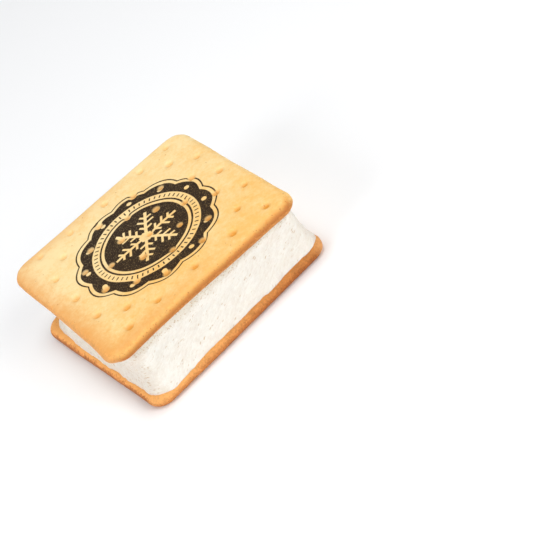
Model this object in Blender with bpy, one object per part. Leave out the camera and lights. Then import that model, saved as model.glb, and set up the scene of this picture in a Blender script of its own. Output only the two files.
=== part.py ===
"""Ice cream sandwich: a slab of vanilla ice cream between two docked square biscuits.

Lengths are in metres and +Z is up. The sandwich lies flat, with the lower biscuit's docked face at Z = 0,
and the origin is under the middle of its bounding box.
"""

import math
import random
from dataclasses import dataclass

import bmesh
import bpy
from mathutils import Euler, Matrix, Vector, noise

MM = 0.001

# Whole sandwich
HEIGHT_TO_UPPER_BISCUIT = 22.7 * MM
CLEARANCE = 0.3 * MM

# Biscuits, each modelled with its inner face at Z = 0 and its docked outer face up
SIDE = 76.0 * MM
THICKNESS = 4.4 * MM
CORNER_STEPS = 6
OUTER_EDGE_ROUND = 2.3 * MM
INNER_EDGE_ROUND = 1.9 * MM
EDGE_STEPS = 3
SHOULDER_WIDTH = 3.5 * MM
SHOULDER_DROP = 0.25 * MM
OUTLINE_WANDER = 0.55 * MM
OUTLINE_WANDER_LENGTH = 26.0 * MM
EDGE_FOCUS = 8
# Where the upper biscuit's outline is drawn out or in: X, Y, reach and width of each place
UPPER_PULLS = (
    (38 * MM, -38 * MM, 1.5 * MM, 10 * MM),
    (38 * MM, 38 * MM, 1.0 * MM, 6.5 * MM),
    (-38 * MM, -32 * MM, -0.4 * MM, 9 * MM),
    (-38 * MM, 2 * MM, 0.3 * MM, 12 * MM),
    (-28 * MM, 38 * MM, -0.3 * MM, 9 * MM),
)
FACE_WANDER = 0.25 * MM
FACE_WANDER_LENGTH = 22.0 * MM

# Docking dimples, in rows that alternate between two square lattices
DIMPLE_PITCH = 15.4 * MM
DIMPLE_ROWS = 5
DIMPLE_CENTRE = Vector((-0.8 * MM, 1.4 * MM))
DIMPLE_JITTER = 0.5 * MM
CORNER_DIMPLE_SHIFT = Vector((1.0 * MM, -2.8 * MM))
DIMPLE_RADIUS = 1.3 * MM
DIMPLE_DEPTH = 1.0 * MM
DIMPLE_RAISE = 0.3 * MM
DIMPLE_SIDES = 8
DIMPLE_RINGS = 6

# Ice cream
ICE_CENTRE = Vector((1.0 * MM, 0.65 * MM))
ICE_HALF_X = 35.2 * MM
ICE_HALF_Y = 35.25 * MM
ICE_CORNER_RADIUS = 6.2 * MM
ICE_COLUMNS = 116
ICE_ROWS = 8
ICE_HOLLOW = 0.4 * MM
ICE_SPREAD = 0.7 * MM
ICE_RIPPLE = 0.5 * MM
ICE_RIPPLE_LENGTH = 9.0 * MM
ICE_RIPPLE_FLATTENING = 2.0
ICE_RIPPLE_SEED = 68
ICE_PITTING = 0.35 * MM
ICE_PIT_LENGTH = 3.0 * MM
ICE_PIT_SEED = 17
# Where the foot of the ice cream is squeezed out or drawn in: X, Y, reach and width of each place
ICE_SWELLS = (
    (35 * MM, -36 * MM, 1.0 * MM, 6 * MM),
    (20 * MM, -36 * MM, 1.1 * MM, 8 * MM),
    (4 * MM, -36 * MM, 0.9 * MM, 8 * MM),
    (-12 * MM, -36 * MM, 1.1 * MM, 8 * MM),
    (-33 * MM, -33 * MM, -0.5 * MM, 6 * MM),
    (37 * MM, -26 * MM, 0.4 * MM, 8 * MM),
    (37 * MM, 14 * MM, -0.1 * MM, 9 * MM),
    (37 * MM, 29 * MM, -0.5 * MM, 5 * MM),
    (30 * MM, 37 * MM, 0.7 * MM, 9 * MM),
    (-34 * MM, 12 * MM, 0.9 * MM, 9 * MM),
    (-6 * MM, 36 * MM, 0.8 * MM, 10 * MM),
)
# Where the side is hollowed above the foot, in the same order, and how far up the hollow is full
ICE_DENTS = ((-34 * MM, -36 * MM, -2.6 * MM, 9 * MM),)
ICE_DENT_START = 0.2

# Colours and surfaces
GOLDEN = (0.86, 0.56, 0.25)
TOASTED = (0.66, 0.33, 0.12)
VANILLA = (0.93, 0.90, 0.84)
BISCUIT_ROUGHNESS = 0.75
ICE_ROUGHNESS = 0.6
SMOOTH_ANGLE = math.radians(40)


@dataclass(frozen=True)
class Biscuit:
    """What differs between the two biscuits."""

    name: str
    corner_radius: float
    location: Vector
    rotation: Euler
    face_relief: float
    seed: int
    outline_seed: float
    pulls: tuple


UPPER = Biscuit(
    name="biscuit_top",
    corner_radius=7.0 * MM,
    location=Vector((0.55 * MM, 0.33 * MM, HEIGHT_TO_UPPER_BISCUIT)),
    rotation=Euler((math.radians(-0.89), math.radians(0.50), math.radians(-2.86))),
    face_relief=1.0,
    seed=3,
    outline_seed=38.37,
    pulls=UPPER_PULLS,
)
LOWER = Biscuit(
    name="biscuit_bottom",
    corner_radius=6.2 * MM,
    location=Vector((0, 0, THICKNESS)),
    rotation=Euler((math.pi, 0, 0)),
    face_relief=0.0,
    seed=8,
    outline_seed=182.37,
    pulls=(),
)


def clear_scene():
    for item in list(bpy.data.objects):
        bpy.data.objects.remove(item, do_unlink=True)


def new_collection(name):
    collection = bpy.data.collections.new(name)
    bpy.context.scene.collection.children.link(collection)
    return collection


def new_material(name, colour, roughness):
    material = bpy.data.materials.new(name)
    material.use_nodes = True
    shader = material.node_tree.nodes["Principled BSDF"]
    shader.inputs["Base Color"].default_value = (*colour, 1)
    shader.inputs["Roughness"].default_value = roughness
    shader.inputs["Metallic"].default_value = 0
    return material


def new_object(name, bm, collection, parent):
    mesh = bpy.data.meshes.new(name)
    bm.to_mesh(mesh)
    bm.free()
    item = bpy.data.objects.new(name, mesh)
    item.parent = parent
    collection.objects.link(item)
    return item


def finish(item, material):
    item.data.materials.append(material)
    item.data.shade_smooth()
    item.data.set_sharp_from_angle(angle=SMOOTH_ANGLE)


def wander(point, length, seed):
    """Smooth noise between about -1 and 1 that changes over this length."""
    return noise.noise(point / length + Vector((seed, seed * 2, seed * 3)))


def bulge(place, swells):
    """How far these swells, of given X, Y, reach and width, stand out at this place."""
    total = 0
    for x, y, reach, width in swells:
        total += reach * math.exp(-(((place - Vector((x, y))).length / width) ** 2))
    return total


def bevel(bm, edges, radius, steps):
    bmesh.ops.bevel(
        bm, geom=edges, offset=radius, offset_type="OFFSET", segments=steps, profile=0.5, affect="EDGES"
    )


def flat_face(bm, height):
    """The largest level face at this height."""
    at_height = [face for face in bm.faces if all(abs(v.co.z - height) < 0.001 * MM for v in face.verts)]
    return max(at_height, key=lambda face: face.calc_area())


def face_height(biscuit, x, y):
    """How far the docked face stands above or below its flat plane at this place."""
    inset = SIDE / 2 - max(abs(x), abs(y))
    shoulder = max(0, 1 - inset / (OUTER_EDGE_ROUND + SHOULDER_WIDTH))
    uneven = FACE_WANDER * wander(Vector((x, y, 0)), FACE_WANDER_LENGTH, biscuit.seed)
    return biscuit.face_relief * (uneven - SHOULDER_DROP * shoulder)


def dimple_places(biscuit):
    """Where the dimples are: a square lattice, and a second one in the middles of its squares."""
    draw = random.Random(biscuit.seed)
    places = []
    last = DIMPLE_ROWS - 1
    for across in range(2 * DIMPLE_ROWS - 1):
        for up in range(2 * DIMPLE_ROWS - 1):
            if (across + up) % 2:
                continue
            place = DIMPLE_CENTRE + Vector((across - last, up - last)) * DIMPLE_PITCH / 2
            if across in (0, 2 * last) and up in (0, 2 * last):
                place.x += math.copysign(CORNER_DIMPLE_SHIFT.x, across - last)
                place.y += math.copysign(1, up - last) * CORNER_DIMPLE_SHIFT.y
            place.x += draw.uniform(-DIMPLE_JITTER, DIMPLE_JITTER)
            place.y += draw.uniform(-DIMPLE_JITTER, DIMPLE_JITTER)
            places.append(place)
    return places


def cut_between_rows(bm):
    """Adds edges midway between the rows of dimples, so that the faces can undulate."""
    for axis in (Vector((1, 0, 0)), Vector((0, 1, 0))):
        for step in range(1 - DIMPLE_ROWS, DIMPLE_ROWS - 1):
            across = DIMPLE_CENTRE.to_3d() + axis * (step + 0.5) * DIMPLE_PITCH / 2
            everything = bm.verts[:] + bm.edges[:] + bm.faces[:]
            bmesh.ops.bisect_plane(bm, geom=everything, dist=0.01 * MM, plane_co=across, plane_no=axis)


def make_slab(biscuit):
    bm = bmesh.new()
    bmesh.ops.create_cube(bm, size=1)
    bmesh.ops.scale(bm, vec=(SIDE, SIDE, THICKNESS), verts=bm.verts)
    bmesh.ops.translate(bm, vec=(0, 0, THICKNESS / 2), verts=bm.verts)
    upright = [edge for edge in bm.edges if abs(edge.verts[0].co.z - edge.verts[1].co.z) > THICKNESS / 2]
    bevel(bm, upright, biscuit.corner_radius, CORNER_STEPS)
    bevel(bm, flat_face(bm, THICKNESS).edges[:], OUTER_EDGE_ROUND, EDGE_STEPS)
    bevel(bm, flat_face(bm, 0).edges[:], INNER_EDGE_ROUND, EDGE_STEPS)
    bmesh.ops.inset_region(bm, faces=[flat_face(bm, THICKNESS)], thickness=SHOULDER_WIDTH)
    cut_between_rows(bm)
    for vertex in bm.verts:
        x, y, z = vertex.co
        plan = Vector((x, y, 0))
        near_edge = min(1, max(abs(x), abs(y)) / (SIDE / 2)) ** EDGE_FOCUS
        reach = OUTLINE_WANDER * wander(plan, OUTLINE_WANDER_LENGTH, biscuit.outline_seed)
        reach += bulge(plan.xy, biscuit.pulls)
        vertex.co += plan.normalized() * near_edge * reach
        vertex.co.z += face_height(biscuit, x, y) * z / THICKNESS
    bmesh.ops.triangulate(bm, faces=bm.faces)
    return bm


def make_dimple_cutters(biscuit):
    """Flattened balls that sink into the docked face by the depth of a dimple."""
    bm = bmesh.new()
    for place in dimple_places(biscuit):
        height = THICKNESS + DIMPLE_RAISE + face_height(biscuit, place.x, place.y)
        squash = Matrix.Diagonal((1, 1, (DIMPLE_DEPTH + DIMPLE_RAISE) / DIMPLE_RADIUS, 1))
        bmesh.ops.create_uvsphere(
            bm,
            u_segments=DIMPLE_SIDES,
            v_segments=DIMPLE_RINGS,
            radius=DIMPLE_RADIUS,
            matrix=Matrix.Translation((place.x, place.y, height)) @ squash,
        )
    return bm


def add_biscuit(biscuit, material, parts, cutters, parent):
    item = new_object(biscuit.name, make_slab(biscuit), parts, parent)
    item.location = biscuit.location
    item.rotation_euler = biscuit.rotation
    cutter = new_object(biscuit.name + "_dimples", make_dimple_cutters(biscuit), cutters, item)
    cutter.hide_render = True
    cutter.display_type = "WIRE"
    dock = item.modifiers.new("dimples", "BOOLEAN")
    dock.operation = "DIFFERENCE"
    dock.solver = "EXACT"
    dock.object = cutter
    finish(item, material)
    return item


def around_ice(share):
    """The point this share of the way round the ice cream's outline, and the direction out of it there."""
    straights = [2 * (ICE_HALF_Y - ICE_CORNER_RADIUS), 2 * (ICE_HALF_X - ICE_CORNER_RADIUS)] * 2
    arc = math.pi / 2 * ICE_CORNER_RADIUS
    walk = share * (sum(straights) + 4 * arc)
    side = 0
    while side < 3 and walk > straights[side] + arc:
        walk -= straights[side] + arc
        side += 1
    heading = side * math.pi / 2
    past_corner = walk - straights[side]
    bend = heading + max(0, past_corner) / ICE_CORNER_RADIUS
    outward = Vector((math.cos(bend), math.sin(bend)))
    along = Vector((-math.sin(heading), math.cos(heading)))
    corner = Vector(
        (
            math.copysign(ICE_HALF_X - ICE_CORNER_RADIUS, math.cos(heading + math.pi / 4)),
            math.copysign(ICE_HALF_Y - ICE_CORNER_RADIUS, math.sin(heading + math.pi / 4)),
        )
    )
    return ICE_CENTRE + corner + outward * ICE_CORNER_RADIUS + along * min(0, past_corner), outward


def ice_relief(point, rise):
    """How far the ice cream's side stands out, with rise 0 at its lower edge and 1 at its upper one."""
    hollow = -ICE_HOLLOW * math.sin(math.pi * rise)
    spread = ICE_SPREAD * (1 - rise) ** 3
    swell = bulge(point.xy, ICE_SWELLS) * (1 - rise) ** 2
    flattened = Vector((point.x, point.y, point.z * ICE_RIPPLE_FLATTENING))
    ripple = ICE_RIPPLE * wander(flattened, ICE_RIPPLE_LENGTH, ICE_RIPPLE_SEED)
    pits = -ICE_PITTING * max(0, wander(point, ICE_PIT_LENGTH, ICE_PIT_SEED))
    dents = bulge(point.xy, ICE_DENTS) * min(1, rise / ICE_DENT_START) ** 2
    return hollow + spread + swell + ripple + pits + dents


def make_ice_cream(upper):
    """A block that meets the lower biscuit flat and the tilted upper one along that one's inner face."""
    normal = upper.rotation.to_matrix() @ Vector((0, 0, 1))
    under_upper = upper.location - normal * CLEARANCE
    base = THICKNESS + CLEARANCE
    bm = bmesh.new()
    bmesh.ops.create_cone(bm, cap_ends=True, segments=ICE_COLUMNS, radius1=1, radius2=1, depth=1)
    upright = [edge for edge in bm.edges if abs(edge.verts[0].co.z - edge.verts[1].co.z) > 0.5]
    bmesh.ops.subdivide_edges(bm, edges=upright, cuts=ICE_ROWS - 1)
    for vertex in bm.verts:
        rise = vertex.co.z + 0.5
        share = (math.atan2(vertex.co.y, vertex.co.x) / math.tau) % 1
        place, outward = around_ice(share)
        point = Vector((place.x, place.y, rise * (HEIGHT_TO_UPPER_BISCUIT - base)))
        place = place + outward * ice_relief(point, rise)
        top = under_upper.z - (normal.xy @ (place - under_upper.xy)) / normal.z
        vertex.co = Vector((place.x, place.y, base + rise * (top - base)))
    bmesh.ops.recalc_face_normals(bm, faces=bm.faces)
    return bm


def centre_over_origin(root, items):
    """Moves the sandwich so that its bounding box stands centred on the origin."""
    bpy.context.view_layer.update()
    graph = bpy.context.evaluated_depsgraph_get()
    points = []
    for item in items:
        evaluated = item.evaluated_get(graph)
        points += [evaluated.matrix_world @ vertex.co for vertex in evaluated.data.vertices]
    for axis in (0, 1):
        values = [point[axis] for point in points]
        root.location[axis] = -(min(values) + max(values)) / 2


def main():
    clear_scene()
    parts = new_collection("ice_cream_sandwich")
    cutters = new_collection("cutters")
    root = bpy.data.objects.new("sandwich", None)
    parts.objects.link(root)
    golden = new_material("golden_biscuit", GOLDEN, BISCUIT_ROUGHNESS)
    toasted = new_material("toasted_biscuit", TOASTED, BISCUIT_ROUGHNESS)
    vanilla = new_material("vanilla_ice_cream", VANILLA, ICE_ROUGHNESS)
    bottom = add_biscuit(LOWER, toasted, parts, cutters, root)
    ice = new_object("ice_cream", make_ice_cream(UPPER), parts, root)
    finish(ice, vanilla)
    top = add_biscuit(UPPER, golden, parts, cutters, root)
    centre_over_origin(root, [bottom, ice, top])


main()
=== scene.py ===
"""Looks of a square ice cream sandwich: vanilla ice cream between two docked, baked biscuits.

Lengths are in metres and +Z is up. Each piece replaces the solid of its name with a finer one of the same
form, so the sizes and rules below repeat those that the solids were made from.
"""

import logging
import math
import random
from dataclasses import dataclass
from enum import Enum
from typing import Any, Callable, Union

import bmesh
import bpy
from mathutils import Euler, Matrix, Vector, kdtree, noise


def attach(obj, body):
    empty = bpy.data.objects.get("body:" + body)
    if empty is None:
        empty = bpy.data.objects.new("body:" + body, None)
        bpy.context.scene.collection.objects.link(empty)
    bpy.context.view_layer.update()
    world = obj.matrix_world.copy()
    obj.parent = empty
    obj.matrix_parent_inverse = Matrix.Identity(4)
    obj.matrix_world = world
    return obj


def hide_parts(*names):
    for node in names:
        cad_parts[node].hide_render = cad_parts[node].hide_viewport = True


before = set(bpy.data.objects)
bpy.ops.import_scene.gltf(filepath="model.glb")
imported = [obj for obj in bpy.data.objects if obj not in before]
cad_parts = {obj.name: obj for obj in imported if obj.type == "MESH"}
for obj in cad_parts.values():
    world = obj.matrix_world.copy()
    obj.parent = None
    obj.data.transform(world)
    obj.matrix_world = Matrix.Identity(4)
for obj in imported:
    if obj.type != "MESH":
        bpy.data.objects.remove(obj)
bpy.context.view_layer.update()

LOG = logging.getLogger("ice_cream_sandwich")
MM = 0.001

Colour = tuple[float, float, float]
Number = Union[float, int, "Wire"]
Span = tuple[float, float]
Stops = tuple[tuple[float, Colour], ...]
Weights = tuple[float, ...]
Swells = tuple[tuple[float, float, float, float], ...]

# What the meshes hold at each vertex, for their materials
OWN_PLACE = "own_place"
RIM_SHARE = "rim"
DIMPLE_SHARE = "dimple"
RISE = "rise"
POROUS = "porous"

# Whole sandwich
HEIGHT_TO_UPPER_BISCUIT = 22.7 * MM
CLEARANCE = 0.3 * MM

# Biscuits, each modelled with its inner face at Z = 0 and its docked face up
SIDE = 76.0 * MM
THICKNESS = 4.4 * MM
OUTER_EDGE_ROUND = 2.3 * MM
INNER_EDGE_ROUND = 1.9 * MM
SHOULDER_WIDTH = 3.5 * MM
SHOULDER_DROP = 0.25 * MM
OUTLINE_WANDER = 0.55 * MM
OUTLINE_WANDER_LENGTH = 26.0 * MM
EDGE_FOCUS = 8
# Where the upper biscuit's outline is drawn out or in: X, Y, reach and width of each place
UPPER_PULLS = (
    (38 * MM, -38 * MM, 1.5 * MM, 10 * MM),
    (38 * MM, 38 * MM, 1.0 * MM, 6.5 * MM),
    (-38 * MM, -32 * MM, -0.4 * MM, 9 * MM),
    (-38 * MM, 2 * MM, 0.3 * MM, 12 * MM),
    (-28 * MM, 38 * MM, -0.3 * MM, 9 * MM),
)
FACE_WANDER = 0.25 * MM
FACE_WANDER_LENGTH = 22.0 * MM
# How far the toasted band of one side reaches round the corners
BAND_WRAP = 0.4 * MM

# Docking dimples, in rows that alternate between two square lattices
DIMPLE_PITCH = 15.4 * MM
DIMPLE_ROWS = 5
DIMPLE_CENTRE = Vector((-0.8 * MM, 1.4 * MM))
DIMPLE_JITTER = 0.5 * MM
CORNER_DIMPLE_SHIFT = Vector((1.0 * MM, -2.8 * MM))
DIMPLE_RADIUS = 1.3 * MM
DIMPLE_DEPTH = 1.0 * MM

# Ice cream
ICE_CENTRE = Vector((1.0 * MM, 0.65 * MM))
ICE_HALF_X = 35.2 * MM
ICE_HALF_Y = 35.25 * MM
ICE_CORNER_RADIUS = 6.2 * MM
ICE_HOLLOW = 0.4 * MM
ICE_SPREAD = 0.7 * MM
ICE_RIPPLE = 0.5 * MM
ICE_RIPPLE_LENGTH = 9.0 * MM
ICE_RIPPLE_FLATTENING = 2.0
ICE_RIPPLE_SEED = 68
ICE_PITTING = 0.35 * MM
ICE_PIT_LENGTH = 3.0 * MM
ICE_PIT_SEED = 17
# Where the foot of the ice cream is squeezed out or drawn in: X, Y, reach and width of each place
ICE_SWELLS = (
    (35 * MM, -36 * MM, 1.0 * MM, 6 * MM),
    (20 * MM, -36 * MM, 1.1 * MM, 8 * MM),
    (4 * MM, -36 * MM, 0.9 * MM, 8 * MM),
    (-12 * MM, -36 * MM, 1.1 * MM, 8 * MM),
    (-33 * MM, -33 * MM, -0.5 * MM, 6 * MM),
    (37 * MM, -26 * MM, 0.4 * MM, 8 * MM),
    (37 * MM, 14 * MM, -0.1 * MM, 9 * MM),
    (37 * MM, 29 * MM, -0.5 * MM, 5 * MM),
    (30 * MM, 37 * MM, 0.7 * MM, 9 * MM),
    (-34 * MM, 12 * MM, 0.9 * MM, 9 * MM),
    (-6 * MM, 36 * MM, 0.8 * MM, 10 * MM),
)
# Where the side is hollowed above the foot, in the same order, and how far up the hollow is full
ICE_DENTS = ((-34 * MM, -36 * MM, -2.6 * MM, 9 * MM),)
ICE_DENT_START = 0.2


def clamp(value: float, low: float = 0.0, high: float = 1.0) -> float:
    """The value, held between low and high."""
    return max(low, min(high, value))


def ease(value: float, low: float, high: float) -> float:
    """Rises smoothly from 0 to 1 as the value goes from low to high."""
    share = clamp((value - low) / (high - low))
    return share * share * (3 - 2 * share)


def wander(point: Vector, length: float, seed: float) -> float:
    """Smooth noise at a point, from about -1 to 1, with hills and hollows of about this length."""
    return noise.noise(point / length + Vector((seed, seed * 2, seed * 3)))


def bulge(place: Vector, swells: Swells) -> float:
    """How far swells stand out.

    Args:
        place: Where this is asked, in plan.
        swells: The X, Y, reach and width of each swell.

    Returns:
        The sum of their reaches there.
    """
    total = 0.0
    for x, y, reach, width in swells:
        total += reach * math.exp(-(((place - Vector((x, y))).length / width) ** 2))
    return total


@dataclass(frozen=True)
class Grain:
    """A cloudy noise: the width of its patches, how many finer layers it has and how strong those are."""

    size: float
    detail: float = 2.0
    roughness: float = 0.5


@dataclass(frozen=True)
class Flecks:
    """Small spots: the pitch of the places for them, their radius and the share of places that hold one."""

    pitch: float
    radius: float
    share: float
    strength: float
    smallest: float = 0.4
    hard_part: float = 0.6


def operator(operation: str, reflected: bool = False) -> Callable[["Wire", Number], "Wire"]:
    """Makes an operator of Wire.

    Args:
        operation: The operation of the Math node that it adds.
        reflected: Whether the Wire stands on the operator's right.

    Returns:
        The operator.
    """

    def apply(wire: "Wire", other: Number) -> "Wire":
        """Works on a Wire and another value."""
        return wire.maths(operation, other, wire) if reflected else wire.maths(operation, wire, other)

    return apply


class Wire:
    """A value that flows between the nodes of a material, with Python's arithmetic for numbers."""

    def __init__(self, graph: "Graph", socket: bpy.types.NodeSocket) -> None:
        """Wraps an output socket of one of the graph's nodes."""
        self.graph = graph
        self.socket = socket

    def maths(self, operation: str, *operands: Number) -> "Wire":
        """Adds a Math node, with its inputs in order, and returns its result."""
        return self.graph.node("ShaderNodeMath", {"operation": operation}, dict(enumerate(operands)))

    __add__ = operator("ADD")
    __radd__ = operator("ADD", reflected=True)
    __sub__ = operator("SUBTRACT")
    __rsub__ = operator("SUBTRACT", reflected=True)
    __mul__ = operator("MULTIPLY")
    __rmul__ = operator("MULTIPLY", reflected=True)
    __truediv__ = operator("DIVIDE")
    __pow__ = operator("POWER")
    least = operator("MINIMUM")
    most = operator("MAXIMUM")

    def __neg__(self) -> "Wire":
        """This value with its sign changed."""
        return self.maths("MULTIPLY", self, -1)

    def __abs__(self) -> "Wire":
        """This value without its sign."""
        return self.maths("ABSOLUTE", self)

    def clamped(self) -> "Wire":
        """This value, held between 0 and 1."""
        return self.least(1).most(0)

    def eased(self, low: float, high: float) -> "Wire":
        """Rises smoothly from 0 to 1 as this value goes from low to high."""
        settings = {"interpolation_type": "SMOOTHSTEP"}
        return self.graph.node("ShaderNodeMapRange", settings, {0: self, 1: low, 2: high, 3: 0, 4: 1})


def mingled(noises: tuple[Wire, ...], weights: Weights) -> Wire:
    """The sum of several noises, each times its weight."""
    return sum(one * weight for one, weight in zip(noises, weights))


class Graph:
    """The nodes of one material, round its Principled BSDF."""

    COLOUR_FACTOR, COLOUR_FIRST, COLOUR_SECOND, COLOUR_RESULT = 0, 6, 7, 2

    def __init__(self, name: str) -> None:
        """Makes a material.

        Args:
            name: Its name.
        """
        self.material = bpy.data.materials.new(name)
        self.material.use_nodes = True
        self.tree = self.material.node_tree
        self.shader = self.tree.nodes["Principled BSDF"]

    def feed(self, socket: bpy.types.NodeSocket, value: Any) -> None:
        """Links or sets an input.

        Args:
            socket: The input.
            value: A Wire to link, or a number, colour or vector to set.
        """
        if isinstance(value, Wire):
            self.tree.links.new(value.socket, socket)
        elif socket.type == "RGBA":
            socket.default_value = (*value, 1)
        else:
            socket.default_value = value

    def node(self, kind: str, settings: dict[str, Any], sockets: dict[Any, Any], output: int = 0) -> Wire:
        """Adds a node.

        Args:
            kind: The node's type.
            settings: Its options, with a ramp's stops as pairs of place and colour.
            sockets: Values or wires for its inputs, by name or number.
            output: Which of its outputs is wanted.

        Returns:
            That output.
        """
        node = self.tree.nodes.new(kind)
        for name, value in settings.items():
            if name == "stops":
                self.set_stops(node.color_ramp, value)
            else:
                setattr(node, name, value)
        for key, value in sockets.items():
            self.feed(node.inputs[key], value)
        return Wire(self, node.outputs[output])

    def set_stops(self, ramp: bpy.types.ColorRamp, stops: Stops) -> None:
        """Gives a ramp its stops.

        Args:
            ramp: The ramp, which starts with two stops.
            stops: Place and colour of each, in order.
        """
        for _ in range(len(stops) - 2):
            ramp.elements.new(0.5)
        for element, (place, colour) in zip(ramp.elements, stops):
            element.position = place
            element.color = (*colour, 1)

    def attribute(self, name: str) -> Wire:
        """A number that the mesh holds at each vertex."""
        return self.node("ShaderNodeAttribute", {"attribute_name": name}, {}, output=2)

    def place(self, name: str) -> Wire:
        """A vector that the mesh holds at each vertex."""
        return self.node("ShaderNodeAttribute", {"attribute_name": name}, {}, output=1)

    def ramp(self, share: Wire, stops: Stops) -> Wire:
        """The colour that a ramp with these stops has at a share of its length."""
        return self.node("ShaderNodeValToRGB", {"stops": stops}, {0: share})

    def parts_of(self, vector: Wire) -> tuple[Wire, Wire, Wire]:
        """Takes a vector apart.

        Args:
            vector: The vector.

        Returns:
            Its X, Y and Z, each as a number.
        """
        first = self.node("ShaderNodeSeparateXYZ", {}, {0: vector})
        outputs = first.socket.node.outputs
        return first, Wire(self, outputs[1]), Wire(self, outputs[2])

    def grain(self, vector: Wire, grain: Grain) -> Wire:
        """Cloudy noise.

        Args:
            vector: Where it is read.
            grain: What it is like.

        Returns:
            A number from -0.5 to 0.5.
        """
        sockets = {"Vector": vector, "Scale": 1 / grain.size}
        sockets |= {"Detail": grain.detail, "Roughness": grain.roughness}
        return self.node("ShaderNodeTexNoise", {}, sockets) - 0.5

    def flecks(self, vector: Wire, flecks: Flecks) -> Wire:
        """Small scattered spots.

        Args:
            vector: Where they are read.
            flecks: What they are like.

        Returns:
            Their strength in a spot and 0 outside.
        """
        distance = self.node("ShaderNodeTexVoronoi", {}, {"Vector": vector, "Scale": 1 / flecks.pitch})
        drawn = Wire(self, distance.socket.node.outputs[1])
        luck, size, _ = self.parts_of(drawn)
        grown = flecks.smallest + (1 - flecks.smallest) * size
        reach = flecks.radius / flecks.pitch * grown
        spot = 1 - (distance / reach).eased(flecks.hard_part, 1)
        return spot * luck.maths("LESS_THAN", luck, flecks.share) * flecks.strength

    def blend(self, factor: Number, first: Any, second: Any, mode: str = "MIX") -> Wire:
        """Mixes two colours.

        Args:
            factor: 0 for the first colour and 1 for the second.
            first: A colour.
            second: Another colour.
            mode: How the second is laid on the first.

        Returns:
            The mixed colour.
        """
        sockets = {self.COLOUR_FACTOR: factor, self.COLOUR_FIRST: first, self.COLOUR_SECOND: second}
        settings = {"data_type": "RGBA", "blend_type": mode}
        return self.node("ShaderNodeMix", settings, sockets, output=self.COLOUR_RESULT)

    def bump(self, height: Wire, distance: float) -> Wire:
        """A normal that is tilted by the slopes of a height, where 1 stands up by the distance."""
        return self.node("ShaderNodeBump", {}, {"Strength": 1.0, "Distance": distance, "Height": height})

    def dressed(self, inputs: dict[str, Any]) -> bpy.types.Material:
        """Feeds the shader.

        Args:
            inputs: What goes into its inputs, by name.

        Returns:
            The finished material.
        """
        for name, value in inputs.items():
            self.feed(self.shader.inputs[name], value)
        return self.material


@dataclass(frozen=True)
class BiscuitPlace:
    """What a biscuit's material knows about each place on it."""

    graph: Graph
    own: Wire
    across: Wire
    up: Wire
    rim_share: Wire
    dimple: Wire

    @classmethod
    def read(cls, graph: Graph) -> "BiscuitPlace":
        """Reads it from what the mesh holds.

        Args:
            graph: The biscuit's material.

        Returns:
            The place.
        """
        own = graph.place(OWN_PLACE)
        across, up, _ = graph.parts_of(own)
        return cls(graph, own, across, up, graph.attribute(RIM_SHARE), graph.attribute(DIMPLE_SHARE))

    def lean(self, way: Weights) -> Wire:
        """How far the place lies towards +X and +Y, each times its weight, as a share of the side."""
        return (self.across * way[0] + self.up * way[1]) / SIDE


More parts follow.
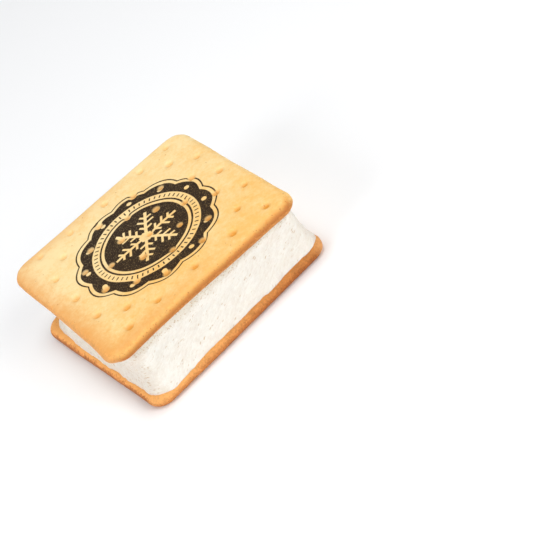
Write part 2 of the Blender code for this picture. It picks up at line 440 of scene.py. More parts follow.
@dataclass(frozen=True)
class Emblem:
    """A round emblem in dark ink: a pale snowflake on a disc, within a scalloped wreath of dots."""

    ink: Colour = (0.016, 0.006, 0.002)
    softness: float = 0.16 * MM
    disc_radius: float = 15.2 * MM
    arm_length: float = 12.6 * MM
    arm_half_width: float = 0.55 * MM
    twig_half_width: float = 0.42 * MM
    twigs: tuple[Span, ...] = ((3.9 * MM, 2.6 * MM), (6.6 * MM, 3.4 * MM), (9.3 * MM, 2.4 * MM))
    hub: float = 2.3 * MM
    ring_radius: float = 16.6 * MM
    ring_half_width: float = 0.35 * MM
    tick_start: float = 17.6 * MM
    tick_end: float = 19.0 * MM
    tick_half_width: float = 0.24 * MM
    ticks: int = 60
    lobes: int = 12
    band_start: float = 19.7 * MM
    band_end: float = 23.0 * MM
    lobe_rise: float = 1.7 * MM
    dot_place: float = 21.9 * MM
    dot_radius: float = 0.95 * MM
    outline_gap: float = 1.5 * MM
    outline_half_width: float = 0.28 * MM
    strength: float = 0.985
    wear: Grain = Grain(0.33 * MM, 1.0)
    wear_span: Span = (0.06, 0.24)
    wear_strength: float = 0.22
    dimple_span: Span = (0.1, 0.6)
    dimple_bareness: float = 0.8
    rim_span: Span = (0.0, 0.05)

    def inside(self, distance: Wire) -> Wire:
        """1 where a distance to a shape is negative, with the print's soft edge."""
        return (0.5 - distance / self.softness).clamped()

    def folded(self, radius: Wire, turn: Wire, half_gap: float) -> tuple[Wire, Wire]:
        """Distances along and beside the nearest of many spokes, whose angles are two half gaps apart."""
        fold = turn.maths("PINGPONG", turn, half_gap)
        return radius * fold.maths("COSINE", fold), radius * fold.maths("SINE", fold)

    def snowflake(self, radius: Wire, turn: Wire) -> Wire:
        """Draws six arms with twigs on both sides.

        Args:
            radius: Distance from the emblem's centre.
            turn: Angle from its upright direction.

        Returns:
            1 on the flake and 0 outside.
        """
        along, aside = self.folded(radius, turn, math.pi / 6)
        flake = self.inside(aside - self.arm_half_width) * self.inside(along - self.arm_length)
        cosine, sine = math.cos(math.pi / 3), math.sin(math.pi / 3)
        for start, length in self.twigs:
            past = along - start
            beside = abs(past * sine - aside * cosine)
            reach = past * cosine + aside * sine
            twig = self.inside(beside - self.twig_half_width) * self.inside(reach - length)
            flake = flake.most(twig * self.inside(-reach))
        return flake.most(self.inside(along - self.hub))

    def wreath(self, radius: Wire, turn: Wire) -> Wire:
        """Draws the rings, ticks, scalloped band and its outline.

        Args:
            radius: Distance from the emblem's centre.
            turn: Angle from its upright direction.

        Returns:
            1 where there is ink and 0 elsewhere.
        """
        ring = self.inside(abs(radius - self.ring_radius) - self.ring_half_width)
        tick_fold = turn.maths("PINGPONG", turn, math.pi / self.ticks)
        tick = self.inside(radius * tick_fold - self.tick_half_width)
        tick = tick * self.inside(self.tick_start - radius) * self.inside(radius - self.tick_end)
        wave = turn * (self.lobes / 2)
        lobe = self.lobe_rise * abs(wave.maths("SINE", wave))
        edge = radius - self.band_end - lobe
        band = self.inside(self.band_start - radius) * self.inside(edge)
        lobe_turn = math.pi / self.lobes
        out, aside = self.folded(radius, turn - lobe_turn, lobe_turn)
        out = out - self.dot_place
        dot = self.inside((out * out + aside * aside) ** 0.5 - self.dot_radius)
        outline = self.inside(abs(edge - self.outline_gap) - self.outline_half_width)
        return ring.most(tick).most(band * (1 - dot)).most(outline)

    def printed(self, place: BiscuitPlace, colour: Wire) -> Wire:
        """Prints the emblem on a biscuit's middle, a little worn and mostly missing in the dimples.

        Args:
            place: Place on the biscuit.
            colour: The bare biscuit's colour.

        Returns:
            The colour with the ink on it.
        """
        radius = (place.across * place.across + place.up * place.up) ** 0.5
        turn = place.across.maths("ARCTAN2", place.across, place.up)
        disc = self.inside(radius - self.disc_radius) * (1 - self.snowflake(radius, turn))
        worn = place.graph.grain(place.own, self.wear).eased(*self.wear_span) * self.wear_strength
        bare = place.dimple.eased(*self.dimple_span) * self.dimple_bareness
        cover = disc.most(self.wreath(radius, turn)) * (1 - worn) * (1 - bare)
        cover *= 1 - place.rim_share.eased(*self.rim_span)
        return place.graph.blend(cover * self.strength, colour, self.ink)


@dataclass(frozen=True)
class BiscuitFinish:
    """Baked biscuit: a mottled face, browner towards its edges, darker in its dimples with browning and
    painted shade, and a toasted rim.
    """

    name: str
    pale: Colour
    golden: Colour
    edge: Colour
    # Colour in the dimples: browning with painted shade in the hollows
    dimple: Colour
    speck: Colour
    # Colours from the docked face to the inner one, on the side towards +X and on the other sides
    rim: Stops
    mild_rim: Stops
    # How much +X and +Y count in the browning of the whole biscuit and of its margins; the first also sets
    # which side gets the tone's painted light
    browner_side: Weights
    browner_edge: Weights
    # How the toasted side's band shifts, slants, darkens and changes its tint along that side; the
    # darkening's strength also lightens the whole biscuit away from its browner side, as painted light
    band_drift: float = 0.0
    band_slant: float = 0.0
    uneven_rim: float = 0.0
    tint: Colour = (1.0, 1.0, 1.0)
    # Whether the other sides' rim turns to the face's colour towards +Y, with 1, or towards -Y, with -1
    paler_way: int = 1

    patches: Grain = Grain(15 * MM)
    mottle: Grain = Grain(2.6 * MM, 3.0, 0.6)
    crumb: Grain = Grain(0.8 * MM, 2.0, 0.65)
    middle_depth: float = 0.42
    mottling: Weights = (0.9, 1.0, 0.9)
    margin: Span = (28 * MM, 39 * MM)
    margin_raggedness: Weights = (5 * MM, 4 * MM, 3 * MM)
    margin_strength: float = 0.35

    blotches: Grain = Grain(2.4 * MM, 2.0, 0.6)
    rim_crumb: Grain = Grain(0.7 * MM, 3.0, 0.65)
    rim_start: Span = (0.10, 0.24)
    rim_raggedness: Weights = (0.24, 0.34)
    rim_mottling: Weights = (0.35, 0.70)
    rim_mottling_span: Span = (0.0, 0.3)
    toasted_span: Span = (-4 * MM, 4 * MM)
    toasted_raggedness: float = 10 * MM
    tint_in_middle: float = 0.6
    tint_by_lean: float = 3.3
    paler_span: Span = (-0.2 * SIDE, 0.4 * SIDE)
    crumbs: Flecks = Flecks(0.75 * MM, 0.32 * MM, 0.5, 0.7)
    crumbs_start: Span = (0.12, 0.26)
    crumbs_end: Span = (0.40, 0.60)

    # How strongly the dimples take that colour of browning and painted shade, in the middle and towards the
    # browner side
    dimple_span: Span = (0.1, 1.0)
    dimple_in_middle: float = 0.66
    dimple_by_lean: float = 0.8
    specks: Flecks = Flecks(2.3 * MM, 0.34 * MM, 0.30, 0.55)
    brightness: float = 0.97
    roughness: float = 0.62
    uneven_roughness: float = 0.16
    gloss: float = 0.18
    bumps: Grain = Grain(1.3 * MM)
    grain_height: float = 0.05 * MM
    grain_mix: Weights = (0.5, 0.9)

    def face(self, place: BiscuitPlace) -> Wire:
        """Colours the flat part.

        Args:
            place: Place on the biscuit.

        Returns:
            The face's colour.
        """
        graph = place.graph
        noises = tuple(graph.grain(place.own, grain) for grain in (self.patches, self.mottle, self.crumb))
        depth = self.middle_depth + place.lean(self.browner_side) + mingled(noises, self.mottling)
        colour = graph.blend(depth.clamped(), self.pale, self.golden)
        ragged = abs(place.across).most(abs(place.up)) + mingled(noises, self.margin_raggedness)
        share = (self.margin_strength + place.lean(self.browner_edge)).clamped()
        return graph.blend(ragged.eased(*self.margin) * share, colour, self.edge)

    def rim_colour(self, place: BiscuitPlace, face: Wire, passed: Wire, toasted: Wire) -> Wire:
        """Colours the rim.

        Args:
            place: Place on the biscuit.
            face: The face's colour, into which the rim fades on the side that isn't toasted.
            passed: The ragged share of the rim passed from the docked face to the inner one.
            toasted: 1 on the toasted side and 0 on the others.

        Returns:
            The rim's colour.
        """
        graph = place.graph
        tinted = self.tint_in_middle + place.lean(self.browner_side) * self.tint_by_lean
        band = graph.blend(tinted.clamped(), graph.ramp(passed, self.rim), self.tint, "MULTIPLY")
        among_crumbs = passed.eased(*self.crumbs_start) * (1 - passed.eased(*self.crumbs_end))
        band = graph.blend(graph.flecks(place.own, self.crumbs) * among_crumbs, band, self.speck)
        paler = (place.up * self.paler_way).eased(*self.paler_span)
        mild = graph.blend(paler, graph.ramp(passed, self.mild_rim), face)
        return graph.blend(toasted, mild, band)

    def tone(self, place: BiscuitPlace, toasted: Wire, noises: tuple[Wire, Wire]) -> Wire:
        """Makes the biscuit unevenly bright.

        Args:
            place: Place on the biscuit.
            toasted: 1 on the toasted side and 0 on the others.
            noises: The blotches and the crumb.

        Returns:
            What its colour is multiplied by.
        """
        lean = place.lean(self.browner_side)
        # Lighter away from the browner side, as painted light where the upper biscuit shades the lower
        # one's -Y side, and darker towards it along the toasted side
        uneven = (-lean).clamped() - lean.clamped() * toasted
        mottling = mingled(noises, self.rim_mottling) * place.rim_share.eased(*self.rim_mottling_span)
        return self.brightness + uneven * self.uneven_rim + mottling

    def material(self, emblem: Emblem | None = None) -> bpy.types.Material:
        """Makes the biscuit's material.

        Args:
            emblem: What is printed on the docked face, if anything.

        Returns:
            The material.
        """
        graph = Graph(self.name)
        place = BiscuitPlace.read(graph)
        blotch = graph.grain(place.own, self.blotches)
        fine = graph.grain(place.own, self.rim_crumb)
        facing = place.across - abs(place.up) + place.up * self.band_drift + BAND_WRAP
        toasted = (facing + blotch * self.toasted_raggedness).eased(*self.toasted_span)
        passed = place.rim_share + mingled((blotch, fine), self.rim_raggedness)
        passed += place.up * (self.band_slant / SIDE)
        face = self.face(place)
        rim_colour = self.rim_colour(place, face, passed, toasted)
        colour = graph.blend(passed.eased(*self.rim_start), face, rim_colour)
        colour = graph.blend(1.0, colour, self.tone(place, toasted, (blotch, fine)), "MULTIPLY")
        # Darker in the dimples: partly browner baking, partly painted shade in the hollows
        browned_and_shaded = self.dimple_in_middle + place.lean(self.browner_side) * self.dimple_by_lean
        browned_and_shaded = browned_and_shaded.clamped() * place.dimple.eased(*self.dimple_span)
        colour = graph.blend(browned_and_shaded, colour, self.dimple)
        colour = graph.blend(graph.flecks(place.own, self.specks), colour, self.speck)
        if emblem is not None:
            colour = emblem.printed(place, colour)
        height = mingled((fine, graph.grain(place.own, self.bumps)), self.grain_mix)
        return graph.dressed(
            {
                "Base Color": colour,
                "Roughness": self.roughness + fine * self.uneven_roughness,
                "Normal": graph.bump(height, self.grain_height),
                "Specular IOR Level": self.gloss,
            }
        )


@dataclass(frozen=True)
class IceCreamFinish:
    """Hard frozen vanilla ice cream: off-white, with faint warm clouds, streaks and small tan flecks of
    painted shade in small pits.
    """

    name: str = "vanilla_ice_cream"
    milk: Colour = (0.935, 0.905, 0.83)
    cream: Colour = (0.81, 0.74, 0.645)
    # Colour of the painted shade under the upper biscuit's overhang
    shade: Colour = (0.72, 0.64, 0.50)
    # Colour of the marks: painted shade in small pits and pores, and crumbs under the upper biscuit
    fleck: Colour = (0.60, 0.42, 0.23)

    slant_turn: Weights = (-0.45, -0.45, 0)
    slant_scale: Weights = (0.45, 0.45, 1.5)
    clouds: Grain = Grain(3.5 * MM, 3.0, 0.6)
    streaks: Grain = Grain(0.9 * MM, 3.0, 0.6)
    fine: Grain = Grain(0.45 * MM, 2.0, 0.6)
    middle_depth: float = 0.36
    mottling: Weights = (1.4, 1.7, 0.7)
    depth_by_pores: float = 0.5
    depth_by_rise: float = -0.15

    # Painted shade and crumbs under the upper biscuit's overhang, as shares of the slab's height
    shade_span: Span = (0.77, 0.92)
    shade_strength: float = 0.5
    shade_raggedness: Weights = (0.12, 0.12, 0.12)
    crumbs: Flecks = Flecks(0.6 * MM, 0.32 * MM, 0.6, 0.7)
    crumbs_span: Span = (0.77, 0.86)

    # Flecks and pores, bumped in as small pits with painted shade in them
    flecks: Flecks = Flecks(0.8 * MM, 0.36 * MM, 0.5, 0.65)
    clusters: Grain = Grain(4 * MM)
    cluster_span: Span = (-0.06, 0.10)
    pores: Flecks = Flecks(0.6 * MM, 0.28 * MM, 0.5, 0.6)
    roughness: float = 0.55
    uneven_roughness: float = 0.2
    bumps: Grain = Grain(1.1 * MM, 3.0, 0.6)
    grain_height: float = 0.18 * MM
    grain_mix: Weights = (0.35, 0.5, 1.0, -0.4)
    depth_of_light: float = 0.6 * MM
    light_let_in: float = 0.25
    warmth_of_light: Colour = (1.0, 0.85, 0.7)

    def material(self) -> bpy.types.Material:
        """Makes the ice cream's material.

        Returns:
            The material.
        """
        graph = Graph(self.name)
        own = graph.place(OWN_PLACE)
        rise = graph.attribute(RISE)
        porous = graph.attribute(POROUS)
        turned = {"Vector": own, "Rotation": self.slant_turn}
        turned = graph.node("ShaderNodeVectorRotate", {"rotation_type": "EULER_XYZ"}, turned)
        slanted = {0: turned, 1: self.slant_scale}
        slanted = graph.node("ShaderNodeVectorMath", {"operation": "MULTIPLY"}, slanted)
        clouds = graph.grain(slanted, self.clouds)
        streaks = graph.grain(slanted, self.streaks)
        fine = graph.grain(own, self.fine)
        noises = (clouds, streaks, fine)
        depth = self.middle_depth + mingled(noises, self.mottling)
        depth += porous * self.depth_by_pores + rise * self.depth_by_rise
        colour = graph.blend(depth.clamped(), self.milk, self.cream)
        # Painted shade on the ice cream just under the upper biscuit's overhang, with a ragged lower border
        under_biscuit = rise + mingled(noises, self.shade_raggedness)
        shaded = under_biscuit.eased(*self.shade_span) * self.shade_strength
        colour = graph.blend(shaded, colour, self.shade)
        # Tan marks: painted shade in small pits and pores, and crumbs along the upper biscuit's edge
        clusters = graph.grain(own, self.clusters).eased(*self.cluster_span)
        marks = graph.flecks(slanted, self.flecks) * clusters
        marks = marks.most(graph.flecks(slanted, self.pores) * porous)
        marks = marks.most(graph.flecks(own, self.crumbs) * under_biscuit.eased(*self.crumbs_span))
        height = mingled((fine, streaks, graph.grain(own, self.bumps), marks), self.grain_mix)
        return graph.dressed(
            {
                "Base Color": graph.blend(marks, colour, self.fleck),
                "Roughness": self.roughness + fine * self.uneven_roughness,
                "Normal": graph.bump(height, self.grain_height),
                "Subsurface Weight": self.light_let_in,
                "Subsurface Radius": self.warmth_of_light,
                "Subsurface Scale": self.depth_of_light,
            }
        )


@dataclass(frozen=True)
class StudioFinish:
    """Plain matt paint."""

    name: str
    colour: Colour
    roughness: float = 0.9
    gloss: float = 0.1

    def material(self) -> bpy.types.Material:
        """Makes the paint's material."""
        inputs = {"Base Color": self.colour, "Roughness": self.roughness, "Specular IOR Level": self.gloss}
        return Graph(self.name).dressed(inputs)


def make_piece(name: str, bm: bmesh.types.BMesh, finish: bpy.types.Material) -> bpy.types.Object:
    """Turns a finished shape into an object at the origin, with its place in its mesh.

    Args:
        name: The object's name.
        bm: The shape, which is used up.
        finish: Its material.

    Returns:
        The object.
    """
    mesh = bpy.data.meshes.new(name)
    bm.to_mesh(mesh)
    bm.free()
    mesh.shade_smooth()
    mesh.materials.append(finish)
    piece = bpy.data.objects.new(name, mesh)
    bpy.context.scene.collection.objects.link(piece)
    return piece


class Laid(Enum):
    """Which way a biscuit's docked face looks, as a turn about X."""

    FACE_UP = 0.0
    FACE_DOWN = math.pi


@dataclass
class Biscuit:
    """A square biscuit with rounded edges and rows of dimples, with its docked face at its own top."""

    name: str
    laid: Laid
    finish: BiscuitFinish
    corner_radius: float
    place: Vector
    tilt: Euler
    face_relief: float
    seed: int
    outline_seed: float
    pulls: Swells = ()
    emblem: Emblem | None = None

    cells: int = 236
    outer_steps: int = 8
    inner_steps: int = 6
    inner_rings: int = 5
    inner_ring_width: float = 1.0 * MM
    steepest_share: float = 0.98
    drawn_in: float = 0.05 * MM

    # Spans as shares of the rim passed, or of a dimple's radius
    face_span: Span = (0.0, 0.3)
    rim_span: Span = (0.0, 0.35)
    inner_span: Span = (0.97, 1.0)
    dimple_span: Span = (0.2, 1.5)
    dimple_sizes: Span = (0.86, 1.14)
    dimple_size_seed: int = 1
    funnel_depth: float = 0.3 * MM
    funnel_width: float = 2.7 * MM
    face_grain: float = 0.05 * MM
    face_grain_length: float = 3.0 * MM
    face_grain_seed: int = 20
    rim_grain: float = 0.16 * MM
    rim_grain_length: float = 1.5 * MM
    rim_grain_seed: int = 40
    fine_rim_grain_length: float = 1.5 / 2.2 * MM
    fine_rim_grain_seed: int = 60

    def matrix(self) -> Matrix:
        """Takes the biscuit from its own frame to its place in the sandwich."""
        turned_over = Matrix.Rotation(self.laid.value, 4, "X")
        return Matrix.Translation(self.place) @ self.tilt.to_matrix().to_4x4() @ turned_over

    def corner_of(self, point: Vector) -> Vector:
        """The nearest point of the square that the outlines run round."""
        limit = SIDE / 2 - self.corner_radius
        return Vector((clamp(point.x, -limit, limit), clamp(point.y, -limit, limit), 0))

    def face_height(self, plan: Vector) -> float:
        """How far the docked face stands above or below its flat plane.

        Args:
            plan: Place on the biscuit, with no height.

        Returns:
            The height.
        """
        inset = SIDE / 2 - max(abs(plan.x), abs(plan.y))
        shoulder = ease(1 - inset / (OUTER_EDGE_ROUND + SHOULDER_WIDTH), 0, 1)
        uneven = FACE_WANDER * wander(plan, FACE_WANDER_LENGTH, self.seed)
        return self.face_relief * (uneven - SHOULDER_DROP * shoulder)

    def dimple_places(self) -> list[Vector]:
        """Lays out the dimples: a square lattice, and a second one in the middles of its squares.

        Returns:
            Their places in plan, row by row.
        """
        draw = random.Random(self.seed)
        places = []
        last = DIMPLE_ROWS - 1
        for across in range(2 * DIMPLE_ROWS - 1):
            for up in range(2 * DIMPLE_ROWS - 1):
                if (across + up) % 2:
                    continue
                place = DIMPLE_CENTRE + Vector((across - last, up - last)) * DIMPLE_PITCH / 2
                if across in (0, 2 * last) and up in (0, 2 * last):
                    place.x += math.copysign(CORNER_DIMPLE_SHIFT.x, across - last)
                    place.y += math.copysign(1, up - last) * CORNER_DIMPLE_SHIFT.y
                place.x += draw.uniform(-DIMPLE_JITTER, DIMPLE_JITTER)
                place.y += draw.uniform(-DIMPLE_JITTER, DIMPLE_JITTER)
                places.append(place)
        return places

    def inner_height(self, point: Vector) -> float:
        """How far the inner side has curved away from its flat plane.

        Args:
            point: Place on the inner side.

        Returns:
            The height, which grows towards the rim.
        """
        flat = Vector((point.x, point.y, 0))
        past = (flat - self.corner_of(flat)).length - (self.corner_radius - INNER_EDGE_ROUND)
        past = clamp(past, 0, INNER_EDGE_ROUND * self.steepest_share)
        return INNER_EDGE_ROUND - math.sqrt(INNER_EDGE_ROUND**2 - past**2)

    def rim_profile(self) -> list[tuple[float, float]]:
        """Draws the rim's section.

        Returns:
            Insets from the side and heights, from the docked face to the inner one.
        """
        profile = []
        for step in range(1, self.outer_steps + 1):
            angle = math.pi / 2 * step / self.outer_steps
            inset = OUTER_EDGE_ROUND * (1 - math.sin(angle))
            profile.append((inset, THICKNESS - OUTER_EDGE_ROUND * (1 - math.cos(angle))))
        for step in range(self.inner_steps + 1):
            angle = math.pi / 2 * step / self.inner_steps
            inset = INNER_EDGE_ROUND * (1 - math.cos(angle))
            profile.append((inset, INNER_EDGE_ROUND * (1 - math.sin(angle))))
        return profile

    def face_sheet(self) -> bmesh.types.BMesh:
        """Lays a fine grid over the flat part of the docked face and draws its corners in to arcs.

        Returns:
            The grid.
        """
        bm = bmesh.new()
        half = SIDE / 2 - OUTER_EDGE_ROUND
        radius = self.corner_radius - OUTER_EDGE_ROUND
        bmesh.ops.create_grid(bm, x_segments=self.cells, y_segments=self.cells, size=half)
        for vertex in bm.verts:
            corner = self.corner_of(vertex.co)
            across, up, _ = vertex.co - corner
            vertex.co.x = corner.x + across * math.sqrt(1 - up**2 / (2 * radius**2))
            vertex.co.y = corner.y + up * math.sqrt(1 - across**2 / (2 * radius**2))
            vertex.co.z = THICKNESS
        return bm

    def add_rim(self, bm: bmesh.types.BMesh) -> None:
        """Grows the rim down from the face's edge, ring by ring, and closes the inner face.

        Args:
            bm: The docked face, which gets a layer that holds the share of the rim passed at each vertex.
        """
        rim = bm.verts.layers.float.new(RIM_SHARE)
        edges = [edge for edge in bm.edges if edge.is_boundary]
        profile = self.rim_profile()
        rings = []
        for step, (inset, height) in enumerate(profile, 1):
            rings.append((inset, height, step / len(profile)))
        for step in range(1, self.inner_rings + 1):
            rings.append((INNER_EDGE_ROUND + step * self.inner_ring_width, 0, 1))
        for inset, height, share in rings:
            grown = bmesh.ops.extrude_edge_only(bm, edges=edges)["geom"]
            edges = [item for item in grown if isinstance(item, bmesh.types.BMEdge)]
            for vertex in (item for item in grown if isinstance(item, bmesh.types.BMVert)):
                flat = Vector((vertex.co.x, vertex.co.y, 0))
                corner = self.corner_of(flat)
                vertex.co = corner + (flat - corner).normalized() * (self.corner_radius - inset)
                vertex.co.z = height
                vertex[rim] = share
        bmesh.ops.edgeloop_fill(bm, edges=edges)
        bmesh.ops.recalc_face_normals(bm, faces=bm.faces)

    def outline_reach(self, plan: Vector) -> float:
        """How far the outline stands out beyond the even one.

        Args:
            plan: Place on the biscuit, with no height.

        Returns:
            The distance, which fades towards the biscuit's middle.
        """
        near_edge = min(1, max(abs(plan.x), abs(plan.y)) / (SIDE / 2)) ** EDGE_FOCUS
        reach = OUTLINE_WANDER * wander(plan, OUTLINE_WANDER_LENGTH, self.outline_seed)
        return near_edge * (reach + bulge(plan.xy, self.pulls) - self.drawn_in)

    def rim_pitting(self, place: Vector, passed: float) -> float:
        """How deep the rim's rough crumb lies under the even rim.

        Args:
            place: Place on the even biscuit.
            passed: Share of the rim passed.

        Returns:
            The depth, which is zero on both faces.
        """
        rough = wander(place, self.rim_grain_length, self.seed + self.rim_grain_seed)
        rough += 0.5 * wander(place, self.fine_rim_grain_length, self.seed + self.fine_rim_grain_seed)
        on_rim = ease(passed, *self.rim_span) * (1 - ease(passed, *self.inner_span))
        return self.rim_grain * (0.5 - 0.4 * rough) * on_rim

    def face_pitting(self, plan: Vector) -> float:
        """How deep the face's fine grain lies under the even face."""
        grain = wander(plan, self.face_grain_length, self.seed + self.face_grain_seed)
        return self.face_grain * (0.5 - 0.5 * grain)

    def shape(self, bm: bmesh.types.BMesh) -> None:
        """Gives the biscuit its uneven outline and face, its dimples and its grain.

        Args:
            bm: The even biscuit, which gets layers for its own place and for its dimples.
        """
        rim = bm.verts.layers.float[RIM_SHARE]
        own = bm.verts.layers.float_vector.new(OWN_PLACE)
        dent = bm.verts.layers.float.new(DIMPLE_SHARE)
        places = self.dimple_places()
        tree = kdtree.KDTree(len(places))
        for index, place in enumerate(places):
            tree.insert(place.to_3d(), index)
        tree.balance()
        draw = random.Random(self.seed + self.dimple_size_seed)
        sizes = [draw.uniform(*self.dimple_sizes) for _ in places]
        bm.normal_update()
        for vertex in bm.verts:
            plan = Vector((vertex.co.x, vertex.co.y, 0))
            height = vertex.co.z
            vertex[own] = vertex.co
            on_face = 1 - ease(vertex[rim], *self.face_span)
            _, index, distance = tree.find(plan)
            size = sizes[index]
            dimple = 1 - ease(distance / (DIMPLE_RADIUS * size), *self.dimple_span)
            funnel = math.exp(-((distance / self.funnel_width) ** 2))
            depth = DIMPLE_DEPTH * size * dimple + self.funnel_depth * funnel + self.face_pitting(plan)
            vertex[dent] = on_face * dimple
            inward = -vertex.normal * self.rim_pitting(vertex.co, vertex[rim])
            vertex.co += plan.normalized() * self.outline_reach(plan) + inward
            vertex.co.z += self.face_height(plan) * height / THICKNESS - on_face * depth

    def build(self) -> bpy.types.Object:
        """Makes the biscuit and puts it in the sandwich.

        Returns:
            The finished biscuit.
        """
        bm = self.face_sheet()
        self.add_rim(bm)
        self.shape(bm)
        bmesh.ops.transform(bm, matrix=self.matrix(), verts=bm.verts)
        return make_piece(self.name + "_baked", bm, self.finish.material(self.emblem))


@dataclass
class IceCream:
    """The slab between the biscuits: slightly hollow, rippled sides that spread at their foot."""

    lower: Biscuit
    upper: Biscuit
    finish: IceCreamFinish
    columns: int = 1000
    rows: int = 66
    sink: float = 0.2 * MM
    streak: float = 0.10 * MM
    streak_length: float = 4.2 * MM
    streak_flattening: float = 3.0
    streak_seed: int = 71
    pore: float = 0.34 * MM
    pore_length: float = 1.1 * MM
    pore_start: float = 0.1
    pore_seed: int = 83
    porous_span: Span = (0.25, 0.95)
    smooth_share: float = 0.3

    def around(self, share: float) -> tuple[Vector, Vector]:
        """Walks round the slab's outline.

        Args:
            share: How much of the way has been walked, from 0 to 1.

        Returns:
            The point there, and the direction out of the slab.
        """
        straights = [2 * (ICE_HALF_Y - ICE_CORNER_RADIUS), 2 * (ICE_HALF_X - ICE_CORNER_RADIUS)] * 2
        arc = math.pi / 2 * ICE_CORNER_RADIUS
        walk = share * (sum(straights) + 4 * arc)
        side = 0
        while side < 3 and walk > straights[side] + arc:
            walk -= straights[side] + arc
            side += 1
        heading = side * math.pi / 2
        past_corner = walk - straights[side]
        bend = heading + max(0, past_corner) / ICE_CORNER_RADIUS
        outward = Vector((math.cos(bend), math.sin(bend)))
        along = Vector((-math.sin(heading), math.cos(heading)))
        corner_x = math.copysign(ICE_HALF_X - ICE_CORNER_RADIUS, math.cos(heading + math.pi / 4))
        corner_y = math.copysign(ICE_HALF_Y - ICE_CORNER_RADIUS, math.sin(heading + math.pi / 4))
        corner = Vector((corner_x, corner_y))
        return ICE_CENTRE + corner + outward * ICE_CORNER_RADIUS + along * min(0, past_corner), outward

    def relief(self, point: Vector, rise: float) -> float:
        """How far the side stands out.

        Args:
            point: Place on the even side, with its height above the slab's base.
            rise: 0 at the foot and 1 at the upper edge.

        Returns:
            The distance outwards.
        """
        hollow = -ICE_HOLLOW * math.sin(math.pi * rise)
        spread = ICE_SPREAD * (1 - rise) ** 3
        swell = bulge(point.xy, ICE_SWELLS) * (1 - rise) ** 2
        flattened = Vector((point.x, point.y, point.z * ICE_RIPPLE_FLATTENING))
        ripple = ICE_RIPPLE * wander(flattened, ICE_RIPPLE_LENGTH, ICE_RIPPLE_SEED)
        pits = -ICE_PITTING * max(0, wander(point, ICE_PIT_LENGTH, ICE_PIT_SEED))
        dents = bulge(point.xy, ICE_DENTS) * min(1, rise / ICE_DENT_START) ** 2
        return hollow + spread + swell + ripple + pits + dents

    def fine_relief(self, point: Vector, porous: float) -> float:
        """The finer streaks and pores of the side.

        Args:
            point: Place on the even side, with its height above the slab's base.
            porous: 0 on a smooth side and 1 on a spongy one.

        Returns:
            The distance outwards, which is never above zero.
        """
        flattened = Vector((point.x, point.y, point.z * self.streak_flattening))
        streak = self.streak * (0.5 - 0.5 * wander(flattened, self.streak_length, self.streak_seed))
        pore = max(0, wander(point, self.pore_length, self.pore_seed) - self.pore_start)
        depth = self.smooth_share + (1 - self.smooth_share) * porous
        return -streak - self.pore * depth * pore

    def meeting_height(self, biscuit: Biscuit, place: Vector) -> float:
        """The height at which the slab ends, just inside a biscuit.

        Args:
            biscuit: The biscuit above or below.
            place: Place on the slab's side.

        Returns:
            The height in the sandwich.
        """
        matrix = biscuit.matrix()
        own = matrix.inverted() @ Vector((place.x, place.y, biscuit.place.z))
        own.z = biscuit.inner_height(own) + self.sink
        return (matrix @ own).z

    def build(self) -> bpy.types.Object:
        """Makes the slab and puts it in the sandwich.

        Returns:
            The finished slab.
        """
        bm = bmesh.new()
        bmesh.ops.create_cone(bm, cap_ends=True, segments=self.columns, radius1=1, radius2=1, depth=1)
        upright = [edge for edge in bm.edges if abs(edge.verts[0].co.z - edge.verts[1].co.z) > 0.5]
        bmesh.ops.subdivide_edges(bm, edges=upright, cuts=self.rows - 1)
        own = bm.verts.layers.float_vector.new(OWN_PLACE)
        rise_layer = bm.verts.layers.float.new(RISE)
        porous_layer = bm.verts.layers.float.new(POROUS)
        nominal = HEIGHT_TO_UPPER_BISCUIT - THICKNESS - CLEARANCE
        for vertex in bm.verts:
            rise = vertex.co.z + 0.5
            share = (math.atan2(vertex.co.y, vertex.co.x) / math.tau) % 1
            place, outward = self.around(share)
            point = Vector((place.x, place.y, rise * nominal))
            porous = ease(abs(outward.y), *self.porous_span)
            place = place + outward * (self.relief(point, rise) + self.fine_relief(point, porous))
            low = self.meeting_height(self.lower, place)
            high = self.meeting_height(self.upper, place)
            vertex.co = Vector((place.x, place.y, low + rise * (high - low)))
            vertex[own] = vertex.co
            vertex[rise_layer] = rise
            vertex[porous_layer] = porous
        bmesh.ops.recalc_face_normals(bm, faces=bm.faces)
        return make_piece("ice_cream_slab", bm, self.finish.material())


@dataclass(frozen=True)
class SoftBox:
    """A large square lamp that looks at the sandwich."""

    name: str
    direction: Weights
    strength: float
    side: float = 0.5
    distance: float = 0.9
    colour: Colour = (1.0, 1.0, 1.0)

    def build(self, target: Vector) -> None:
        """Hangs the lamp.

        Args:
            target: What it looks at.
        """
        data = bpy.data.lights.new(self.name, "AREA")
        data.size = self.side
        data.color = self.colour
        # The power that makes a white surface which faces the lamp as bright as its strength says
        data.energy = self.strength * math.pi**2 * self.distance**2
        lamp = bpy.data.objects.new(self.name, data)
        away = Vector(self.direction).normalized()
        lamp.location = target + away * self.distance
        lamp.rotation_euler = away.to_track_quat("Z", "Y").to_euler()
        bpy.context.scene.collection.objects.link(lamp)


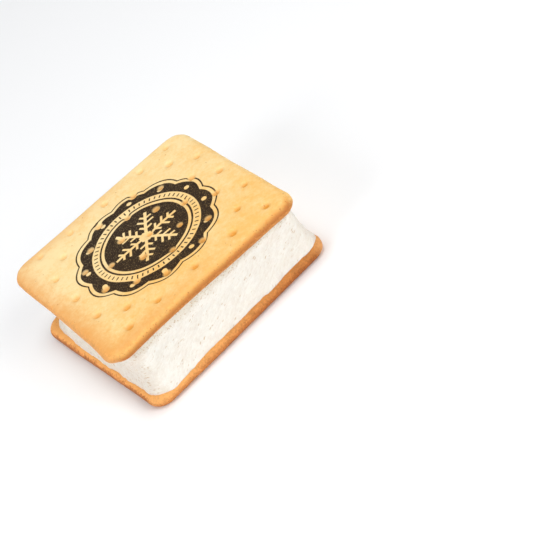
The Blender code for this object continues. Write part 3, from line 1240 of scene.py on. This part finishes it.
@dataclass
class Studio:
    """The pale floor, the soft light and the camera."""

    floor_side: float = 6.0
    floor_finish: StudioFinish = StudioFinish("studio_floor", (0.95, 0.95, 0.95))
    air: Colour = (0.95, 0.97, 1.0)
    air_strength: float = 0.38
    light_target: Vector = Vector((0, 0, 14 * MM))
    soft_boxes: tuple[SoftBox, ...] = (
        SoftBox("key_light", (0.76, 0.36, 0.55), 0.42),
        SoftBox("side_light", (0.10, -0.87, 0.48), 0.38),
        SoftBox("top_light", (0.05, 0.05, 0.99), 0.44),
    )
    view_target: Vector = Vector((38.99 * MM, 16.02 * MM, 14.08 * MM))
    view_azimuth: float = math.radians(73.98)
    view_elevation: float = math.radians(35.13)
    view_distance: float = 599.9 * MM
    view_roll: float = math.radians(-35.11)
    lens: float = 131.95
    sensor: float = 36.0

    def build_floor(self) -> bpy.types.Object:
        """Lays the floor.

        Returns:
            The floor.
        """
        bm = bmesh.new()
        bmesh.ops.create_grid(bm, x_segments=1, y_segments=1, size=self.floor_side / 2)
        return make_piece("studio_floor", bm, self.floor_finish.material())

    def build_air(self) -> None:
        """Sets the even light from all round."""
        world = bpy.data.worlds.new("studio_air")
        world.use_nodes = True
        background = world.node_tree.nodes["Background"]
        background.inputs["Color"].default_value = (*self.air, 1)
        background.inputs["Strength"].default_value = self.air_strength
        bpy.context.scene.world = world

    def build_camera(self) -> None:
        """Places the camera, which looks down on the flat sandwich and is rolled."""
        data = bpy.data.cameras.new("camera")
        data.lens = self.lens
        data.sensor_width = self.sensor
        camera = bpy.data.objects.new("camera", data)
        level = math.cos(self.view_elevation)
        across, along = math.sin(self.view_azimuth) * level, -math.cos(self.view_azimuth) * level
        back = Vector((across, along, math.sin(self.view_elevation)))
        camera.location = self.view_target + back * self.view_distance
        upright = back.to_track_quat("Z", "Y").to_matrix()
        camera.rotation_euler = (upright @ Matrix.Rotation(self.view_roll, 3, "Z")).to_euler()
        bpy.context.scene.collection.objects.link(camera)
        bpy.context.scene.camera = camera

    def build(self) -> bpy.types.Object:
        """Sets up the studio.

        Returns:
            Its floor.
        """
        self.build_air()
        for soft_box in self.soft_boxes:
            soft_box.build(self.light_target)
        self.build_camera()
        view = bpy.context.scene.view_settings
        view.view_transform = "Standard"
        view.look = "None"
        return self.build_floor()


UPPER_FINISH = BiscuitFinish(
    name="golden_biscuit",
    pale=(0.95, 0.735, 0.38),
    golden=(0.92, 0.535, 0.155),
    edge=(0.82, 0.375, 0.10),
    dimple=(0.70, 0.31, 0.045),
    speck=(0.46, 0.17, 0.045),
    rim=(
        (0.00, (0.90, 0.49, 0.15)),
        (0.23, (0.86, 0.46, 0.135)),
        (0.29, (0.82, 0.42, 0.115)),
        (0.34, (0.75, 0.35, 0.088)),
        (0.40, (0.65, 0.275, 0.066)),
        (0.49, (0.56, 0.205, 0.05)),
        (0.58, (0.53, 0.188, 0.043)),
        (0.70, (0.60, 0.235, 0.06)),
        (1.00, (0.68, 0.33, 0.105)),
    ),
    mild_rim=(
        (0.00, (0.81, 0.375, 0.105)),
        (0.30, (0.80, 0.375, 0.115)),
        (0.60, (0.82, 0.42, 0.160)),
        (1.00, (0.83, 0.44, 0.175)),
    ),
    browner_side=(0.80, 0.25),
    browner_edge=(0.10, -1.15),
    band_slant=0.187,
)
LOWER_FINISH = BiscuitFinish(
    name="toasted_biscuit",
    pale=(0.88, 0.54, 0.24),
    golden=(0.83, 0.42, 0.155),
    edge=(0.72, 0.29, 0.08),
    dimple=(0.50, 0.19, 0.04),
    speck=(0.38, 0.16, 0.05),
    # Darker towards the docked face, which faces the floor here: browning with painted shade on the rim's
    # lower part
    rim=(
        (0.00, (0.42, 0.13, 0.035)),
        (0.20, (0.47, 0.16, 0.038)),
        (0.35, (0.55, 0.20, 0.053)),
        (0.45, (0.61, 0.235, 0.065)),
        (0.58, (0.66, 0.275, 0.078)),
        (0.69, (0.75, 0.345, 0.104)),
        (0.80, (0.77, 0.37, 0.114)),
    ),
    # On the other sides, dark below a light ledge under the ice cream: browning with painted shade on the
    # rim's lower part
    mild_rim=(
        (0.00, (0.36, 0.115, 0.03)),
        (0.60, (0.35, 0.11, 0.028)),
        (0.71, (0.42, 0.14, 0.035)),
        (0.79, (0.63, 0.245, 0.066)),
        (0.85, (0.82, 0.375, 0.11)),
        (0.92, (0.88, 0.43, 0.133)),
    ),
    browner_side=(0.0, -0.50),
    browner_edge=(0.0, -0.50),
    band_drift=0.12,
    # Lighter towards -Y: painted light on the side that the upper biscuit shades
    uneven_rim=0.8,
    tint=(0.88, 0.70, 0.55),
    paler_way=-1,
)


@dataclass
class Sandwich:
    """The three layers, each of which stands for one solid of the model."""

    lower: Biscuit
    upper: Biscuit
    slab: IceCream

    def centre(self, pieces: list[bpy.types.Object]) -> None:
        """Moves the layers together, so that the whole stands centred on the origin.

        Args:
            pieces: The finished layers.
        """
        corners = [Vector(corner) for piece in pieces for corner in piece.bound_box]
        for axis in (0, 1):
            values = [corner[axis] for corner in corners]
            shift = Vector((0, 0, 0))
            shift[axis] = -(min(values) + max(values)) / 2
            for piece in pieces:
                piece.data.transform(Matrix.Translation(shift))

    def build(self) -> None:
        """Makes the layers, ties them to the root body and hides the solid that each stands for."""
        layers = {"biscuit_bottom": self.lower, "ice_cream": self.slab, "biscuit_top": self.upper}
        pieces = [layer.build() for layer in layers.values()]
        self.centre(pieces)
        for node, piece in zip(layers, pieces):
            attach(piece, "root")
            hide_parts(node)
            LOG.info("%s stands for %s with %d faces", piece.name, node, len(piece.data.polygons))


def main() -> None:
    """Builds the sandwich, layer by layer, and the studio round it."""
    logging.basicConfig(level=logging.INFO, format="%(message)s")
    lower = Biscuit(
        name="biscuit_bottom",
        laid=Laid.FACE_DOWN,
        finish=LOWER_FINISH,
        corner_radius=6.2 * MM,
        place=Vector((0, 0, THICKNESS)),
        tilt=Euler((0, 0, 0)),
        face_relief=0.0,
        seed=8,
        outline_seed=182.37,
    )
    upper = Biscuit(
        name="biscuit_top",
        laid=Laid.FACE_UP,
        finish=UPPER_FINISH,
        corner_radius=7.0 * MM,
        place=Vector((0.55 * MM, 0.33 * MM, HEIGHT_TO_UPPER_BISCUIT)),
        tilt=Euler((math.radians(-0.89), math.radians(0.50), math.radians(-2.86))),
        face_relief=1.0,
        seed=3,
        outline_seed=38.37,
        pulls=UPPER_PULLS,
        emblem=Emblem(),
    )
    Sandwich(lower, upper, IceCream(lower, upper, IceCreamFinish())).build()
    Studio().build()


if __name__ == "__main__":
    main()
